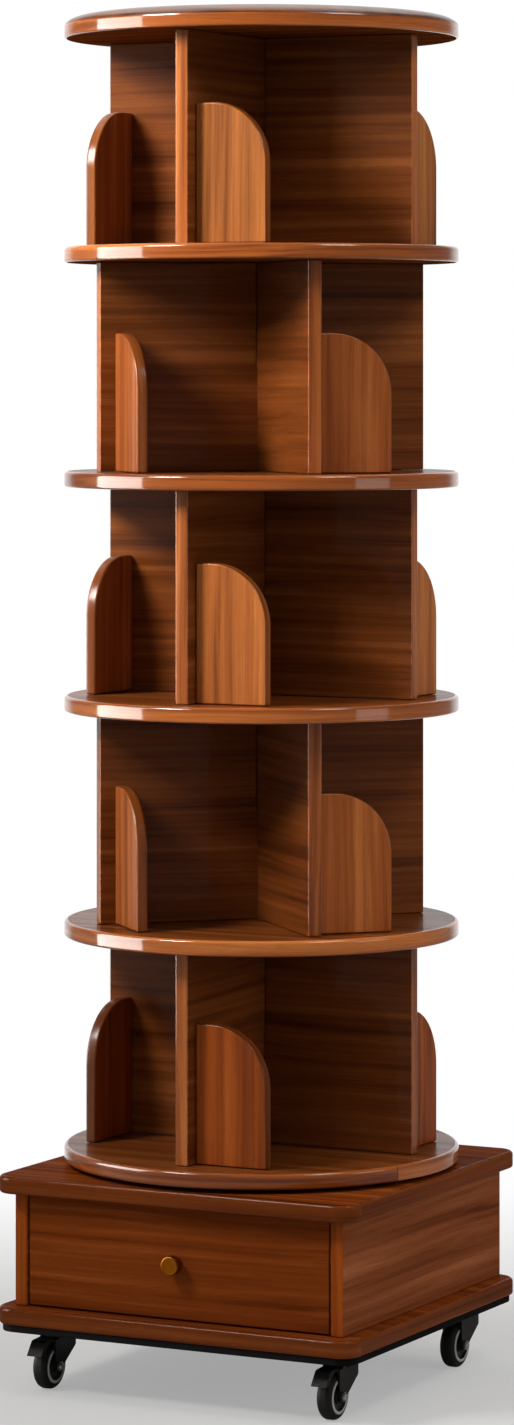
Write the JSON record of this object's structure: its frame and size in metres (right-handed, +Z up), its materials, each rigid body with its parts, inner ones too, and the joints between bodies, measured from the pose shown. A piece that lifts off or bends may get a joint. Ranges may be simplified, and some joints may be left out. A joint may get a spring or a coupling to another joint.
{
  "type": "revolving bookcase",
  "caption": "Revolving bookcase: round shelves with cross walls and arched stops turn as one tower on a square drawer base with swivel castors.",
  "frame": {"origin": "on the floor under the turning axis of the carousel, which is the middle of the footprint", "axes": "+Z up along the turning axis, -Y towards the drawer front, +X to the right seen from the front"},
  "size_m": [0.46, 0.46, 1.5842],
  "materials": {
    "lacquered_wood": "red-brown walnut stain under satin-gloss lacquer",
    "drawer_box_wood": "plain satin wood",
    "black_board": "matt black stain",
    "ring_steel": "bright zinc plate",
    "ring_plastic": "black slip-ring plastic",
    "aged_brass": "aged satin brass",
    "fork_paint": "black satin paint on pressed steel",
    "castor_tyre": "black matt tread",
    "black_lever": "black moulded plastic"
  },
  "bodies": {
    "base": {"base_floor_board": "lacquered_wood", "base_top_board": "lacquered_wood", "base_side_left": "lacquered_wood", "base_side_right": "lacquered_wood", "base_back": "lacquered_wood", "base_underboard": "black_board", "turntable_lower_ring": "ring_steel"},
    "carousel": {"turntable_upper_ring": "ring_plastic", "shelf_1": "lacquered_wood", "shelf_2": "lacquered_wood", "shelf_3": "lacquered_wood", "shelf_4": "lacquered_wood", "shelf_5": "lacquered_wood", "top_disc": "lacquered_wood", "tier_1_wall_a": "lacquered_wood", "tier_1_wall_b": "lacquered_wood", "tier_1_stop_1": "lacquered_wood", "tier_1_stop_2": "lacquered_wood", "tier_1_stop_3": "lacquered_wood", "tier_1_stop_4": "lacquered_wood", "tier_2_wall_a": "lacquered_wood", "tier_2_wall_b": "lacquered_wood", "tier_2_stop_1": "lacquered_wood", "tier_2_stop_2": "lacquered_wood", "tier_2_stop_3": "lacquered_wood", "tier_2_stop_4": "lacquered_wood", "tier_3_wall_a": "lacquered_wood", "tier_3_wall_b": "lacquered_wood", "tier_3_stop_1": "lacquered_wood", "tier_3_stop_2": "lacquered_wood", "tier_3_stop_3": "lacquered_wood", "tier_3_stop_4": "lacquered_wood", "tier_4_wall_a": "lacquered_wood", "tier_4_wall_b": "lacquered_wood", "tier_4_stop_1": "lacquered_wood", "tier_4_stop_2": "lacquered_wood", "tier_4_stop_3": "lacquered_wood", "tier_4_stop_4": "lacquered_wood", "tier_5_wall_a": "lacquered_wood", "tier_5_wall_b": "lacquered_wood", "tier_5_stop_1": "lacquered_wood", "tier_5_stop_2": "lacquered_wood", "tier_5_stop_3": "lacquered_wood", "tier_5_stop_4": "lacquered_wood"},
    "drawer": {"drawer_front": "lacquered_wood", "drawer_side_left": "drawer_box_wood", "drawer_side_right": "drawer_box_wood", "drawer_back": "drawer_box_wood", "drawer_bottom": "drawer_box_wood", "drawer_knob": "aged_brass"},
    "swivel_front_left": {"castor_fork_front_left": "fork_paint"},
    "wheel_front_left": {"castor_wheel_front_left": "castor_tyre"},
    "brake_front_left": {"brake_lever_front_left": "black_lever"},
    "swivel_front_right": {"castor_fork_front_right": "fork_paint"},
    "wheel_front_right": {"castor_wheel_front_right": "castor_tyre"},
    "brake_front_right": {"brake_lever_front_right": "black_lever"},
    "swivel_rear_left": {"castor_fork_rear_left": "fork_paint"},
    "wheel_rear_left": {"castor_wheel_rear_left": "castor_tyre"},
    "swivel_rear_right": {"castor_fork_rear_right": "fork_paint"},
    "wheel_rear_right": {"castor_wheel_rear_right": "castor_tyre"}
  },
  "joints": [
    {"name": "carousel_spin", "type": "hinge", "parent": "base", "child": "carousel", "pos_m": [0, 0, 0.2509], "axis": [0, 0, 1], "continuous": true},
    {"name": "drawer_slide", "type": "slide", "parent": "base", "child": "drawer", "axis": [0, -1, 0], "range_m": [0, 0.28]},
    {"name": "swivel_front_left_turn", "type": "hinge", "parent": "base", "child": "swivel_front_left", "pos_m": [-0.182, -0.158, 0.0697], "axis": [0, 0, 1], "continuous": true},
    {"name": "wheel_front_left_roll", "type": "hinge", "parent": "swivel_front_left", "child": "wheel_front_left", "pos_m": [-0.182, -0.18, 0.0265], "axis": [1, 0, 0], "continuous": true},
    {"name": "brake_front_left_press", "type": "hinge", "parent": "swivel_front_left", "child": "brake_front_left", "pos_m": [-0.182, -0.17544, 0.05893], "axis": [1, 0, 0], "range_deg": [0, 8]},
    {"name": "swivel_front_right_turn", "type": "hinge", "parent": "base", "child": "swivel_front_right", "pos_m": [0.182, -0.158, 0.0697], "axis": [0, 0, 1], "continuous": true},
    {"name": "wheel_front_right_roll", "type": "hinge", "parent": "swivel_front_right", "child": "wheel_front_right", "pos_m": [0.182, -0.18, 0.0265], "axis": [1, 0, 0], "continuous": true},
    {"name": "brake_front_right_press", "type": "hinge", "parent": "swivel_front_right", "child": "brake_front_right", "pos_m": [0.182, -0.17544, 0.05893], "axis": [1, 0, 0], "range_deg": [0, 8]},
    {"name": "swivel_rear_left_turn", "type": "hinge", "parent": "base", "child": "swivel_rear_left", "pos_m": [-0.182, 0.165, 0.0697], "axis": [0, 0, 1], "continuous": true},
    {"name": "wheel_rear_left_roll", "type": "hinge", "parent": "swivel_rear_left", "child": "wheel_rear_left", "pos_m": [-0.182, 0.143, 0.0265], "axis": [1, 0, 0], "continuous": true},
    {"name": "swivel_rear_right_turn", "type": "hinge", "parent": "base", "child": "swivel_rear_right", "pos_m": [0.182, 0.165, 0.0697], "axis": [0, 0, 1], "continuous": true},
    {"name": "wheel_rear_right_roll", "type": "hinge", "parent": "swivel_rear_right", "child": "wheel_rear_right", "pos_m": [0.182, 0.143, 0.0265], "axis": [1, 0, 0], "continuous": true}
  ]
}
